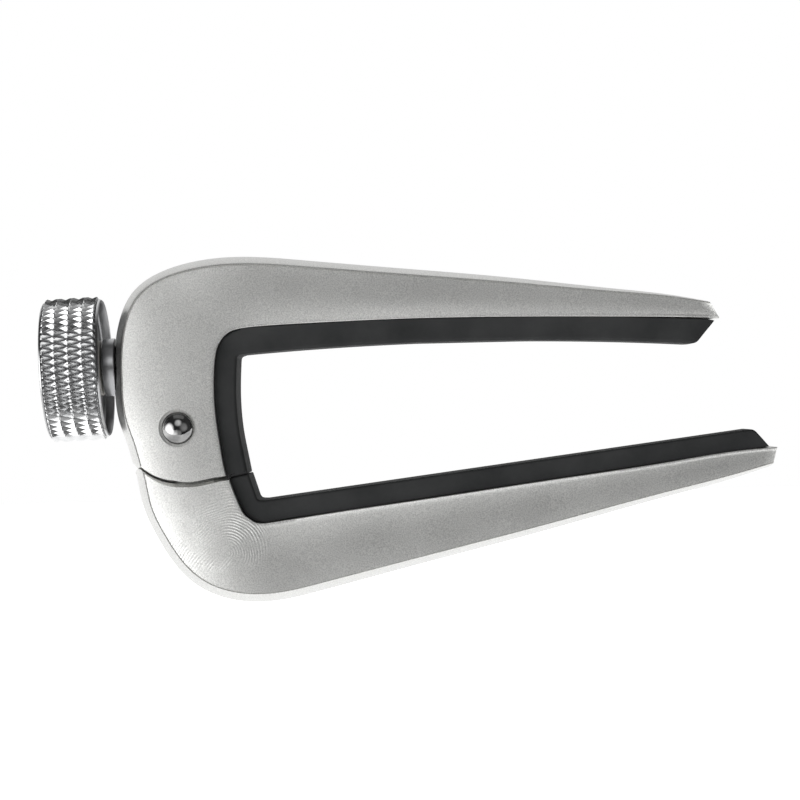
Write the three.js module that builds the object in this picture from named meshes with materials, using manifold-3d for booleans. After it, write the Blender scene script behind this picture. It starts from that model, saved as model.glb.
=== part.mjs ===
// Guitar capo: a one-piece aluminium string arm and housing, a hinged neck arm with a lever
// tail inside the housing, rubber pads, and a knurled thumb screw that swings the neck arm.
// Millimetres.  +X runs along the string pad towards the arm tips, +Z away from the strings,
// Y is the depth.  The origin is the middle of the string pad's pressing face.
import * as THREE from 'three';
import { mergeVertices } from 'three/addons/utils/BufferGeometryUtils.js';
import { LoftGeometry } from 'three/addons/geometries/LoftGeometry.js';
import Module from 'manifold-3d';

const wasm = await Module();
wasm.setup();

// ---- driving dimensions ------------------------------------------------------------------
const GAP = 0.3;                                   // air between neighbouring pieces
const PIVOT = new THREE.Vector2(-38.2, -10.4);     // hinge of the neck arm
const OPEN_ANGLE = THREE.MathUtils.degToRad(12);   // travel of the neck arm

const SCREW_FACE = new THREE.Vector2(-47.92, -2.3);  // knob face nearest the housing
const SCREW_TILT = THREE.MathUtils.degToRad(2.2);    // the screw climbs towards +X
const LEVER = 8.5;                                   // pivot to trunnion

const BARREL_RADIUS = 7.93;                        // crest of the housing round the pivot
const BARREL_CROWN = 1.1;
const BARREL_HALF_WIDTH = 6.2;
const SLOT_HALF_WIDTH = 3.9;
const TAIL_HALF_WIDTH = 2.9;
const RIB_HALF_WIDTH = 1.6;                        // rib along the back of the lever tail
const RIB_ANGLE = 46.5;                            // degrees round from straight down
const RIB_SLOT_ANGLE = 61.5;

const PIN_RADIUS = 1.5;
const BUSH_RADIUS = 2.5;
const TRUNNION_RADIUS = 2.2;
const TRUNNION_HALF_LENGTH = 3.5;
const HEAD_RADIUS = 3.2;                           // round end of the lever tail
const SHANK_RADIUS = 1.5;
const THREAD_RADIUS = 1.3;

const KNOB_RADIUS = 9.45;
const KNOB_LENGTH = 7.7;
const KNOB_DISH_RADIUS = 8.55;
const KNOB_DISH_DEPTH = 1.3;
const KNURL_DEPTH = 0.32;
const KNURL_COLUMNS = 40;
const KNURL_ROWS = 6;

const PAD_RADIUS = 406;                            // crowned like a 16 inch fretboard
const PAD_FLAT = 7;                                // half length of the flat middle facet
const PAD_BEVEL = 0.4;

const MATERIALS = {
  aluminium: { color: 0xb9bcc2, roughness: 0.42, metalness: 1.0 },
  bright: { color: 0xd2d5da, roughness: 0.28, metalness: 1.0 },
  steel: { color: 0x9a9da2, roughness: 0.3, metalness: 1.0 },
  chrome: { color: 0xe6e8ea, roughness: 0.08, metalness: 1.0 },
  brass: { color: 0xb08d4a, roughness: 0.35, metalness: 1.0 },
  rubber: { color: 0x1d1d1f, roughness: 0.85, metalness: 0.0 },
  nylon: { color: 0xe8e4da, roughness: 0.6, metalness: 0.0 },
};

// Each station of an arm: the point against the pad, the point on the crest, half the width
// in Y and how far the crest stands above the long edges.  The string arm runs from the foot
// of the housing to its tip, the neck arm from its tip to the hinge.  Both tips flare into a
// small lip in front of and behind the pad.
const STRING_ARM = [
  [-31.4, -19.0, -43.7, -18.9, 6.2, 1.35],
  [-32.35, -15.2, -44.7, -14.8, 6.2, 1.35],
  [-32.8, -12.2, -45.4, -12.2, 6.2, 1.35],
  [-33.2, -9.0, -46.35, -9.2, 6.2, 1.35],
  [-33.35, -5.0, -46.8, -4.0, 6.2, 1.35],
  [-33.1, -1.3, -46.2, 3.0, 6.2, 1.35],
  [-32.6, 0.4, -44.1, 7.6, 6.15, 1.35],
  [-31.6, 1.6, -40.0, 10.28, 6.05, 1.35],
  [-30.2, 2.2, -35.0, 11.55, 5.9, 1.3],
  [-26.5, 2.55, -29.0, 11.85, 5.75, 1.22],
  [-20.0, 2.8, -22.0, 11.27, 5.5, 1.12],
  [-8.0, 3.08, -9.5, 9.95, 5.1, 1.0],
  [6.0, 3.02, 5.0, 8.4, 4.75, 0.85],
  [20.0, 2.72, 19.0, 6.6, 4.4, 0.55],
  [28.5, 2.45, 27.0, 5.5, 4.2, 0.42],
  [31.4, 2.31, 30.0, 4.93, 4.1, 0.36],
  [32.4, 2.25, 31.0, 4.7, 4.55, 0.35],
];
const NECK_ARM = [
  [39.5, -14.6, 38.8, -17.25, 4.65, 0.5],
  [38.5, -14.66, 37.8, -17.56, 4.2, 0.53],
  [35.5, -14.85, 34.8, -18.5, 4.3, 0.65],
  [26.0, -16.1, 25.0, -21.0, 4.6, 0.85],
  [10.0, -18.15, 8.5, -25.2, 5.0, 1.05],
  [-6.0, -20.2, -8.0, -29.2, 5.4, 1.2],
  [-20.0, -21.95, -21.0, -32.4, 5.7, 1.27],
  [-25.5, -22.7, -27.0, -33.45, 5.85, 1.3],
  [-27.7, -22.9, -31.3, -33.25, 5.95, 1.35],
  [-28.7, -22.6, -35.2, -31.95, 6.05, 1.35],
  [-29.6, -21.9, -38.7, -29.15, 6.1, 1.35],
  [-30.2, -21.0, -41.6, -24.7, 6.15, 1.35],
  [-30.9, -19.3, -43.35, -20.7, 6.2, 1.35],
  [-31.65, -17.1, -44.05, -17.2, 6.2, 1.35],
  [-32.5, -14.2, -44.75, -14.3, 6.2, 1.35],
];

// The front part of the split between housing and neck arm: distance from the pivot against
// the angle round from straight down, negative towards the pads.  Behind it the split
// follows the barrel round the pivot.
const SPLIT_LINE = [
  [-60, 10.8], [-45, 9.0], [-37, 8.2], [-24, 7.55], [-9, 7.2], [2, 6.95], [10, 6.84],
];
const SPLIT_REAR_ANGLE = 5;
const SPLIT_END_ANGLE = 66;

// ---- small helpers -----------------------------------------------------------------------
function toManifold(geometry) {
  const bare = new THREE.BufferGeometry();
  bare.setAttribute('position', geometry.attributes.position);
  bare.setIndex(geometry.index);
  const merged = mergeVertices(bare, 1e-4);
  return new wasm.Manifold(new wasm.Mesh({
    numProp: 3,
    vertProperties: new Float32Array(merged.attributes.position.array),
    triVerts: new Uint32Array(merged.index.array),
  }));
}

function toGeometry(manifold) {
  const mesh = manifold.simplify(0.01).getMesh();
  const geometry = new THREE.BufferGeometry();
  geometry.setAttribute('position', new THREE.BufferAttribute(mesh.vertProperties, 3));
  geometry.setIndex(new THREE.BufferAttribute(mesh.triVerts, 1));
  geometry.computeVertexNormals();
  return geometry;
}

// An outline in X and Z pulled through the depth, centred on Y = 0.
function plate(points, halfWidth, bevel = 0) {
  const shape = new THREE.Shape(points);
  const geometry = new THREE.ExtrudeGeometry(shape, {
    depth: 2 * (halfWidth - bevel),
    bevelEnabled: bevel > 0,
    bevelThickness: bevel,
    bevelSize: bevel,
    bevelOffset: -bevel,
    bevelSegments: 2,
  });
  geometry.translate(0, 0, -(halfWidth - bevel));
  geometry.rotateX(Math.PI / 2);
  return geometry;
}

// A turned piece on the pivot axis or any axis parallel to Y: pairs of radius and depth.
function turnedOnDepth(profile, centre, segments) {
  const outline = profile.map(([radius, y]) => new THREE.Vector2(radius, y));
  const geometry = new THREE.LatheGeometry(outline, segments);
  geometry.translate(centre.x, 0, centre.y);
  return geometry;
}

// Places a piece made along +X on the screw axis, measured from the knob's inner face.
function ontoScrew(geometry) {
  geometry.rotateY(-SCREW_TILT);
  geometry.translate(SCREW_FACE.x, 0, SCREW_FACE.y);
  return geometry;
}

// A turned piece on the screw axis: pairs of radius and distance along the screw.
function turnedOnScrew(profile, segments) {
  const outline = profile.map(([radius, along]) => new THREE.Vector2(radius, along));
  const geometry = new THREE.LatheGeometry(outline, segments);
  geometry.rotateZ(-Math.PI / 2);
  return ontoScrew(geometry);
}

function washerProfile(innerRadius, outerRadius, from, to) {
  return [
    [innerRadius, from], [outerRadius, from], [outerRadius, to], [innerRadius, to],
    [innerRadius, from],
  ];
}

function discProfile(radius, from, to) {
  return [[0, from], [radius, from], [radius, to], [0, to]];
}

// A point at a distance from the pivot; the angle in degrees is from straight down and
// grows towards the back of the housing.
function aroundPivot(angle, distance) {
  const turn = THREE.MathUtils.degToRad(angle);
  return new THREE.Vector2(
    PIVOT.x - distance * Math.sin(turn),
    PIVOT.y - distance * Math.cos(turn),
  );
}

function arcPoints(centre, radius, fromDegrees, toDegrees, count) {
  const points = [];
  for (let i = 0; i <= count; i += 1) {
    const turn = THREE.MathUtils.degToRad(fromDegrees + ((toDegrees - fromDegrees) * i) / count);
    points.push(new THREE.Vector2(
      centre.x + radius * Math.cos(turn),
      centre.y + radius * Math.sin(turn),
    ));
  }
  return points;
}

const vectors = (pairs) => pairs.map(([x, z]) => new THREE.Vector2(x, z));

// ---- arms --------------------------------------------------------------------------------
// One cross-section of an arm: flat against the pad, lightly scooped flanks, crowned back.
function armSection(padPoint, crestPoint, halfWidth, crown) {
  const across = new THREE.Vector3().subVectors(crestPoint, padPoint);
  const height = across.length();
  across.normalize();
  const edge = height - crown;
  const flank = [
    [GAP / 2, halfWidth - 0.3], [GAP / 2 + 0.3, halfWidth], [edge * 0.35, halfWidth - 0.16],
    [edge * 0.7, halfWidth - 0.16], [edge, halfWidth],
  ];
  const back = [];
  for (let i = 1; i < 8; i += 1) {
    const share = 1 - i / 4;
    back.push([height - crown * share * share, halfWidth * share]);
  }
  const mirrored = flank.map(([rise, y]) => [rise, -y]).reverse();
  const outline = [...flank, ...back, ...mirrored];
  return outline.map(([rise, y]) => {
    const point = padPoint.clone().addScaledVector(across, rise);
    point.y = y;
    return point;
  });
}

function armBlank(stations, stepsPerSpan) {
  const rail = (a, b) => new THREE.CatmullRomCurve3(
    stations.map((station) => new THREE.Vector3(station[a], 0, station[b])),
  );
  const padRail = rail(0, 1);
  const crestRail = rail(2, 3);
  const sizeRail = rail(4, 5);
  const count = (stations.length - 1) * stepsPerSpan;
  const sections = [];
  for (let i = 0; i <= count; i += 1) {
    const size = sizeRail.getPoint(i / count);
    sections.push(armSection(padRail.getPoint(i / count), crestRail.getPoint(i / count),
      size.x, size.z));
  }
  return new LoftGeometry(sections, { closed: true, capStart: true, capEnd: true });
}

// ---- the joint between housing and neck arm ----------------------------------------------
function barrel(clearance) {
  const profile = [[0, -8]];
  for (let i = -4; i <= 4; i += 1) {
    const y = (BARREL_HALF_WIDTH * i) / 4;
    const radius = BARREL_RADIUS + clearance - BARREL_CROWN * (i / 4) ** 2;
    if (i === -4) profile.push([radius, -8]);
    profile.push([radius, y]);
    if (i === 4) profile.push([radius, 8]);
  }
  profile.push([0, 8]);
  return turnedOnDepth(profile, PIVOT, 64);
}

function splitFan(clearance) {
  const rail = new THREE.SplineCurve(vectors(SPLIT_LINE));
  const fan = rail.getPoints(18).map(({ x, y }) => aroundPivot(x, y + clearance));
  return [PIVOT.clone(), ...fan];
}

function sector(fromAngle, toAngle, distance) {
  const fan = [];
  for (let i = 0; i <= 8; i += 1) {
    fan.push(aroundPivot(fromAngle + ((toAngle - fromAngle) * i) / 8, distance));
  }
  return [PIVOT.clone(), ...fan];
}

const trunnionTurn = SCREW_TILT + OPEN_ANGLE / 2;
const TRUNNION = new THREE.Vector2(
  PIVOT.x - LEVER * Math.sin(trunnionTurn),
  PIVOT.y + LEVER * Math.cos(trunnionTurn),
);

// The space in the housing for the lever tail, open at the bottom.
function tailSlotOutline() {
  return [
    ...vectors([[-31.6, -17.2], [-34.2, -13.6], [-34.1, -8.0], [-34.1, 0.6], [-35.1, 1.7]]),
    ...vectors([[-42.1, 1.7], [-43.15, 0.6], [-43.15, -10.4]]),
    aroundPivot(75, 4.95),
    aroundPivot(64, 6.0),
    aroundPivot(56, 6.5),
    aroundPivot(47, 6.55),
    aroundPivot(44, 12),
    ...vectors([[-46, -24], [-31.6, -24]]),
  ];
}

function tailOutline() {
  return [
    ...vectors([[-32.3, -19.5], [-32.45, -17.5], [-34.75, -13.9], [-34.6, -10.4]]),
    ...arcPoints(TRUNNION, HEAD_RADIUS, -12, 180, 16),
    new THREE.Vector2(PIVOT.x - 4.6, PIVOT.y),
    aroundPivot(75, 4.6),
    aroundPivot(60, 4.7),
    aroundPivot(47, 6.0),
    aroundPivot(38, 6.2),
    aroundPivot(33, 6.2),
    aroundPivot(31, 8.2),
    ...vectors([[-42.2, -19.5]]),
  ];
}

// The rib closes the back of the split and runs in a narrow slot, open at the lower back.
const ribOutline = () => [
  aroundPivot(20, 4.5), aroundPivot(RIB_ANGLE, 4.9), aroundPivot(RIB_ANGLE, 8.3),
  ...vectors([[-42.8, -19.2], [-40.0, -19.2]]),
];
const ribSlotOutline = () => [
  aroundPivot(10, 4.5), aroundPivot(RIB_SLOT_ANGLE, 4.5), aroundPivot(RIB_SLOT_ANGLE, 12),
  aroundPivot(10, 12),
];

// The screw swings through the tail as the arm opens, so its way through is a bow tie.
function screwWayOutline() {
  const reach = 5;
  const half = THREAD_RADIUS + 0.4;
  const along = (turn, distance, offset) => new THREE.Vector2(
    TRUNNION.x + distance * Math.cos(turn) - offset * Math.sin(turn),
    TRUNNION.y + distance * Math.sin(turn) + offset * Math.cos(turn),
  );
  const closed = SCREW_TILT;
  const open = SCREW_TILT + OPEN_ANGLE;
  return [
    along(closed, reach, -half), along(open, reach, half), along(open, 0, half),
    along(closed, -reach, half), along(open, -reach, -half), along(open, 0, -half),
  ];
}

function makeUpperArm() {
  const blank = toManifold(armBlank(STRING_ARM, 2));
  const rear = toManifold(plate(sector(SPLIT_REAR_ANGLE, SPLIT_END_ANGLE + 5, 12), 9));
  const keep = toManifold(barrel(-GAP / 2)).intersect(rear)
    .add(toManifold(plate(splitFan(-GAP / 2), 9)));
  const away = toManifold(plate(sector(-55, SPLIT_END_ANGLE, 14), 8)).subtract(keep);
  const slot = toManifold(plate(tailSlotOutline(), SLOT_HALF_WIDTH))
    .add(toManifold(plate(ribSlotOutline(), RIB_HALF_WIDTH + GAP)));
  const pinBore = toManifold(turnedOnDepth(discProfile(PIN_RADIUS + GAP, -9, 9), PIVOT, 32));
  const headSeats = [-1, 1].map((side) => {
    const from = side < 0 ? -9 : 5.6;
    return toManifold(turnedOnDepth(discProfile(2.45, from, from + 3.4), PIVOT, 32));
  });
  const sleeveBore = toManifold(turnedOnScrew(discProfile(3.0, -2, 6), 32));
  const sleeveSeat = toManifold(turnedOnScrew(discProfile(4.1, -2, 1.77), 32));
  return blank.subtract(away).subtract(slot).subtract(pinBore)
    .subtract(headSeats[0]).subtract(headSeats[1])
    .subtract(sleeveBore).subtract(sleeveSeat);
}

function makeLowerArm() {
  const blank = toManifold(armBlank(NECK_ARM, 2));
  const beyond = toManifold(plate(sector(RIB_ANGLE, 120, 16), 8));
  const shaped = blank.subtract(toManifold(barrel(GAP / 2)))
    .subtract(toManifold(plate(splitFan(GAP / 2), 8)))
    .subtract(beyond);
  const tail = toManifold(plate(tailOutline(), TAIL_HALF_WIDTH))
    .add(toManifold(plate(ribOutline(), RIB_HALF_WIDTH)));
  const bushBore = toManifold(turnedOnDepth(discProfile(BUSH_RADIUS + GAP, -5, 5), PIVOT, 32));
  const trunnionBore = toManifold(
    turnedOnDepth(discProfile(TRUNNION_RADIUS + GAP, -5, 5), TRUNNION, 32),
  );
  const screwWay = toManifold(plate(screwWayOutline(), THREAD_RADIUS + 0.4));
  return shaped.add(tail).subtract(bushBore).subtract(trunnionBore).subtract(screwWay);
}

// ---- pads --------------------------------------------------------------------------------
const padFace = (x) => (Math.abs(x) <= PAD_FLAT ? 0 : -(x * x - PAD_FLAT ** 2) / (2 * PAD_RADIUS));

// Half the pad width at a place along the arms: it narrows with the arms.
const padHalfWidth = (x) => THREE.MathUtils.clamp(5.35 - 0.0225 * (x + 30), 3.8, 5.35);

function taperPad(geometry) {
  const position = geometry.attributes.position;
  for (let i = 0; i < position.count; i += 1) {
    const scale = padHalfWidth(position.getX(i)) / 5.35;
    position.setY(i, position.getY(i) * scale);
  }
  return geometry;
}

function stringPadOutline() {
  const face = [-29.2, -22, -14.5, -PAD_FLAT, PAD_FLAT, 14.5, 22, 28.4];
  const metalSide = new THREE.SplineCurve(vectors([
    [30.9, 2.06], [20.0, 2.57], [6.0, 2.87], [-8.0, 2.93], [-20.0, 2.65], [-26.5, 2.4],
    [-30.2, 2.05], [-31.5, 1.45], [-32.45, 0.35], [-32.95, -1.3], [-33.2, -5.0],
    [-33.05, -9.0], [-32.65, -12.2], [-32.2, -15.2], [-31.95, -16.5],
  ]));
  const backFace = new THREE.SplineCurve(vectors([
    [-29.4, -16.35], [-30.15, -11.8], [-30.5, -8.5], [-30.55, -5.0], [-30.35, -2.0],
  ]));
  return [
    ...vectors(face.map((x) => [x, padFace(x)])),
    ...vectors([[29.3, -0.85], [29.85, -0.45], [31.5, 1.75]]),
    ...metalSide.getPoints(28),
    ...backFace.getPoints(8),
    ...vectors([[-30.1, -1.4]]),
  ];
}

function neckPadOutline() {
  const metalSide = new THREE.SplineCurve(vectors([
    [-31.6, -17.2], [-30.75, -19.3], [-30.05, -20.95], [-29.5, -21.75], [-28.65, -22.42],
    [-27.6, -22.72], [-25.5, -22.52], [-20.0, -21.8],
  ]));
  return [
    ...vectors([[-29.2, -16.75], [-31.6, -17.2]]),
    ...metalSide.getPoints(14).slice(1),
    ...vectors([[38.6, -14.4], [36.8, -12.45], [36.0, -12.22]]),
    ...vectors([[-26.8, -19.96], [-27.7, -20.05], [-28.1, -19.6]]),
  ];
}

// ---- screw and knob ----------------------------------------------------------------------
// The knurl: crests and valleys alternate round and along, so the rim is covered in diamonds.
function knobRim() {
  const steps = 2 * KNURL_COLUMNS;
  const sections = [];
  const ring = (along, radiusAt) => {
    const points = [];
    for (let i = 0; i < steps; i += 1) {
      const turn = (2 * Math.PI * i) / steps;
      const radius = radiusAt(i);
      points.push(new THREE.Vector3(along, radius * Math.cos(turn), radius * Math.sin(turn)));
    }
    sections.push(points);
  };
  const valley = KNOB_RADIUS - KNURL_DEPTH;
  ring(-KNOB_LENGTH, () => KNOB_RADIUS - 0.6);
  ring(-KNOB_LENGTH + 0.3, () => valley);
  for (let row = 0; row <= KNURL_ROWS; row += 1) {
    const along = -KNOB_LENGTH + 0.55 + ((KNOB_LENGTH - 1.0) * row) / KNURL_ROWS;
    ring(along, (i) => ((i + row) % 2 === 0 ? KNOB_RADIUS : valley));
  }
  ring(-0.35, () => valley);
  ring(0, () => KNOB_RADIUS - 0.5);
  return ontoScrew(new LoftGeometry(sections, { closed: true, capStart: true, capEnd: true }));
}

function makeKnob() {
  const dish = toManifold(turnedOnScrew(discProfile(KNOB_DISH_RADIUS, -KNOB_DISH_DEPTH, 2), 64));
  const shankBore = toManifold(turnedOnScrew(discProfile(SHANK_RADIUS + GAP, -6, 1), 32));
  const headBore = toManifold(turnedOnScrew(discProfile(4.4, -9, -4.6), 48));
  return toManifold(knobRim()).subtract(dish).subtract(shankBore).subtract(headBore);
}

function makeLeadScrew() {
  const head = [[0, -6.3], [2.6, -6.3], [3.0, -5.9], [3.0, -4.9]];
  const shank = [[SHANK_RADIUS, -4.9], [SHANK_RADIUS, 3.62]];
  const groove = [[1.1, 3.62], [1.1, 4.68], [SHANK_RADIUS, 4.68], [SHANK_RADIUS, 5.0]];
  const thread = [[THREAD_RADIUS, 5.2], [THREAD_RADIUS, 12.1], [0.9, 12.5], [0, 12.5]];
  return turnedOnScrew([...head, ...shank, ...groove, ...thread], 32);
}

function makeSleeve() {
  const bore = SHANK_RADIUS + GAP;
  return turnedOnScrew([
    [bore, -0.2], [3.6, -0.2], [3.8, 0], [3.8, 1.47], [2.7, 1.47], [2.7, 3.0], [bore, 3.0],
    [bore, -0.2],
  ], 40);
}

function makeRetainingClip() {
  const ring = toManifold(turnedOnScrew(washerProfile(1.4, 2.6, 3.92, 4.38), 32));
  const mouth = new THREE.BoxGeometry(2, 2.0, 4);
  mouth.translate(4.15, 0, -2);
  return ring.subtract(toManifold(ontoScrew(mouth)));
}

function makeTrunnion() {
  const body = toManifold(turnedOnDepth([
    [0, -TRUNNION_HALF_LENGTH], [TRUNNION_RADIUS - 0.25, -TRUNNION_HALF_LENGTH],
    [TRUNNION_RADIUS, -TRUNNION_HALF_LENGTH + 0.25], [TRUNNION_RADIUS, TRUNNION_HALF_LENGTH - 0.25],
    [TRUNNION_RADIUS - 0.25, TRUNNION_HALF_LENGTH], [0, TRUNNION_HALF_LENGTH],
  ], TRUNNION, 32));
  return body.subtract(toManifold(turnedOnScrew(discProfile(THREAD_RADIUS + 0.25, 4, 14), 24)));
}

// ---- pivot -------------------------------------------------------------------------------
function makePivotPin() {
  const dome = [[0, 6.95], [0.9, 6.82], [1.6, 6.5], [2.0, 6.15], [2.1, 5.9]];
  const front = dome.map(([radius, y]) => [radius, -y]);
  const shank = [[PIN_RADIUS, -5.9], [PIN_RADIUS, 5.9]];
  return turnedOnDepth([...front, ...shank, ...dome.reverse()], PIVOT, 32);
}

const washerOnPivot = (from, to) => turnedOnDepth(
  washerProfile(PIN_RADIUS + GAP, 3.4, from, to), PIVOT, 32);

// ---- assembly ----------------------------------------------------------------------------
const capo = new THREE.Group();
capo.name = 'guitar_capo';

function addPiece(name, geometry, finish) {
  const mesh = new THREE.Mesh(geometry, new THREE.MeshStandardMaterial(MATERIALS[finish]));
  mesh.name = name;
  capo.add(mesh);
}

const plain = (geometry) => toGeometry(toManifold(geometry));

addPiece('upper_arm', toGeometry(makeUpperArm()), 'aluminium');
addPiece('string_pad', plain(taperPad(plate(stringPadOutline(), 5.35, PAD_BEVEL))), 'rubber');
addPiece('pivot_pin', plain(makePivotPin()), 'chrome');
addPiece('screw_sleeve', plain(makeSleeve()), 'steel');
addPiece('front_pivot_washer', plain(washerOnPivot(-3.6, -3.2)), 'nylon');
addPiece('rear_pivot_washer', plain(washerOnPivot(3.2, 3.6)), 'nylon');

addPiece('lower_arm', toGeometry(makeLowerArm()), 'aluminium');
addPiece('neck_pad', plain(taperPad(plate(neckPadOutline(), 5.35, PAD_BEVEL))), 'rubber');
addPiece('pivot_bush', plain(turnedOnDepth(
  washerProfile(PIN_RADIUS + GAP, BUSH_RADIUS, -TAIL_HALF_WIDTH, TAIL_HALF_WIDTH), PIVOT, 32)),
'brass');

addPiece('thumb_knob', toGeometry(makeKnob()), 'bright');
addPiece('knob_end_cap', plain(turnedOnScrew([
  [0, -7.4], [3.7, -7.4], [4.1, -7.1], [4.1, -6.6], [0, -6.6],
], 40)), 'bright');
addPiece('lead_screw', plain(makeLeadScrew()), 'steel');
addPiece('thrust_washer', plain(turnedOnScrew(washerProfile(1.8, 3.6, -1.0, -0.5), 32)), 'nylon');
addPiece('sleeve_washer', plain(turnedOnScrew(washerProfile(1.8, 2.6, 3.3, 3.62), 32)), 'brass');
addPiece('retaining_clip', toGeometry(makeRetainingClip()), 'steel');

addPiece('trunnion_nut', toGeometry(makeTrunnion()), 'brass');

export default capo;
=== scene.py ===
"""Looks of the guitar capo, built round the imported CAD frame.  Tables and meshes are in
millimetres until to_metres is called; shaders, lights and the camera are in metres."""
import math

import bmesh
import bpy
import numpy as np
from mathutils import Matrix, Vector


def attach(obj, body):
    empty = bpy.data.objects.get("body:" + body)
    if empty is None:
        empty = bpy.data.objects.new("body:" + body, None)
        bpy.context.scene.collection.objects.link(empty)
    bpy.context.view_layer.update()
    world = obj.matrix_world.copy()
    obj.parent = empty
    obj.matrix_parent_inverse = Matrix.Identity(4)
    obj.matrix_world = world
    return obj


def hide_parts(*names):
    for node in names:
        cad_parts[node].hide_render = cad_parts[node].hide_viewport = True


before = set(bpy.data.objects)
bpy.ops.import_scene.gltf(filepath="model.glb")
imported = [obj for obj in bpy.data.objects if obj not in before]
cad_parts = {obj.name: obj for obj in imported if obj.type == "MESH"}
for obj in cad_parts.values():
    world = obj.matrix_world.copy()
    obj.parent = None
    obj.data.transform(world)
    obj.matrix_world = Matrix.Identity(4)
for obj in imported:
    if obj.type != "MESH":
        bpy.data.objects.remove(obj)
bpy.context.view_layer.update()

MM = 0.001
scene = bpy.context.scene

# ---- dimensions shared with the CAD ------------------------------------------------------
GAP = 0.3
PIVOT = np.array([-38.2, -10.4])
SCREW_FACE = np.array([-47.92, -2.3])
SCREW_TILT = math.radians(2.2)
OPEN_ANGLE = math.radians(12)
LEVER = 8.5
BARREL_RADIUS, BARREL_CROWN, BARREL_HALF_WIDTH = 7.93, 1.1, 6.2
SLOT_HALF_WIDTH, TAIL_HALF_WIDTH = 3.9, 2.9
RIB_HALF_WIDTH, RIB_ANGLE, RIB_SLOT_ANGLE = 1.6, 46.5, 61.5
HEAD_RADIUS, TRUNNION_RADIUS = 3.2, 2.2
KNOB_RADIUS, KNOB_LENGTH = 9.45, 7.7
PIN_BORE_RADIUS, PIN_SEAT_RADIUS, PIN_SEAT_DEPTH = 1.8, 2.45, 5.6
SLEEVE_BORE_RADIUS, SLEEVE_SEAT_RADIUS, SLEEVE_SEAT_END = 3.0, 4.1, 1.77
BUSH_BORE_RADIUS = 2.8

# pad side x, z | crest x, z | half width | crown height
STRING_ARM = [
    (-31.4, -19.0, -43.7, -18.9, 6.2, 1.35),
    (-32.35, -15.2, -44.7, -14.8, 6.2, 1.35),
    (-32.8, -12.2, -45.4, -12.2, 6.2, 1.35),
    (-33.2, -9.0, -46.35, -9.2, 6.2, 1.35),
    (-33.35, -5.0, -46.8, -4.0, 6.2, 1.35),
    (-33.1, -1.3, -46.2, 3.0, 6.2, 1.35),
    (-32.6, 0.4, -44.1, 7.6, 6.15, 1.35),
    (-31.6, 1.6, -40.0, 10.28, 6.05, 1.35),
    (-30.2, 2.2, -35.0, 11.55, 5.9, 1.3),
    (-26.5, 2.55, -29.0, 11.85, 5.75, 1.22),
    (-20.0, 2.8, -22.0, 11.27, 5.5, 1.12),
    (-8.0, 3.08, -9.5, 9.95, 5.1, 1.0),
    (6.0, 3.02, 5.0, 8.4, 4.75, 0.85),
    (20.0, 2.72, 19.0, 6.6, 4.4, 0.55),
    (28.5, 2.45, 27.0, 5.5, 4.2, 0.42),
    (32.4, 2.25, 31.0, 4.7, 4.1, 0.35),
]
NECK_ARM = [
    (39.5, -14.6, 38.8, -17.25, 4.2, 0.5),
    (35.5, -14.85, 34.8, -18.5, 4.3, 0.65),
    (26.0, -16.1, 25.0, -21.0, 4.6, 0.85),
    (10.0, -18.15, 8.5, -25.2, 5.0, 1.05),
    (-6.0, -20.2, -8.0, -29.2, 5.4, 1.2),
    (-20.0, -21.95, -21.0, -32.4, 5.7, 1.27),
    (-25.5, -22.7, -27.0, -33.45, 5.85, 1.3),
    (-27.7, -22.9, -31.3, -33.25, 5.95, 1.35),
    (-28.7, -22.6, -35.2, -31.95, 6.05, 1.35),
    (-29.6, -21.9, -38.7, -29.15, 6.1, 1.35),
    (-30.2, -21.0, -41.6, -24.7, 6.15, 1.35),
    (-30.9, -19.3, -43.35, -20.7, 6.2, 1.35),
    (-31.65, -17.1, -44.05, -17.2, 6.2, 1.35),
    (-32.5, -14.2, -44.75, -14.3, 6.2, 1.35),
]
SPLIT_LINE = [
    (-60, 10.8), (-45, 9.0), (-37, 8.2), (-24, 7.55), (-9, 7.2), (2, 6.95), (10, 6.84),
]


# ---- curves ------------------------------------------------------------------------------
def natural_spline(knots, values):
    """A smooth curve through values at the given knots, as a function of the knot parameter."""
    t = np.asarray(knots, float)
    v = np.asarray(values, float)
    n = len(t)
    h = np.diff(t)
    system = np.zeros((n, n))
    right = np.zeros((n, v.shape[1]))
    system[0, 0] = system[-1, -1] = 1
    for i in range(1, n - 1):
        system[i, i - 1:i + 2] = h[i - 1], 2 * (h[i - 1] + h[i]), h[i]
        right[i] = 6 * ((v[i + 1] - v[i]) / h[i] - (v[i] - v[i - 1]) / h[i - 1])
    bend = np.linalg.solve(system, right)

    def at(x):
        x = np.atleast_1d(np.asarray(x, float))
        i = np.clip(np.searchsorted(t, x) - 1, 0, n - 2)
        a = ((t[i + 1] - x) / h[i])[:, None]
        b = ((x - t[i]) / h[i])[:, None]
        hh = (h[i] ** 2)[:, None] / 6
        return a * v[i] + b * v[i + 1] + ((a ** 3 - a) * bend[i] + (b ** 3 - b) * bend[i + 1]) * hh

    return at


def chord_spline(points, count):
    """Evenly spaced points on a smooth curve through the given ones."""
    p = np.asarray(points, float)
    s = np.concatenate([[0], np.cumsum(np.linalg.norm(np.diff(p, axis=0), axis=1))])
    return natural_spline(s, p)(np.linspace(0, s[-1], count))


def around_pivot(angle, distance):
    turn = np.radians(angle)
    return np.stack([PIVOT[0] - distance * np.sin(turn), PIVOT[1] - distance * np.cos(turn)], -1)


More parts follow.
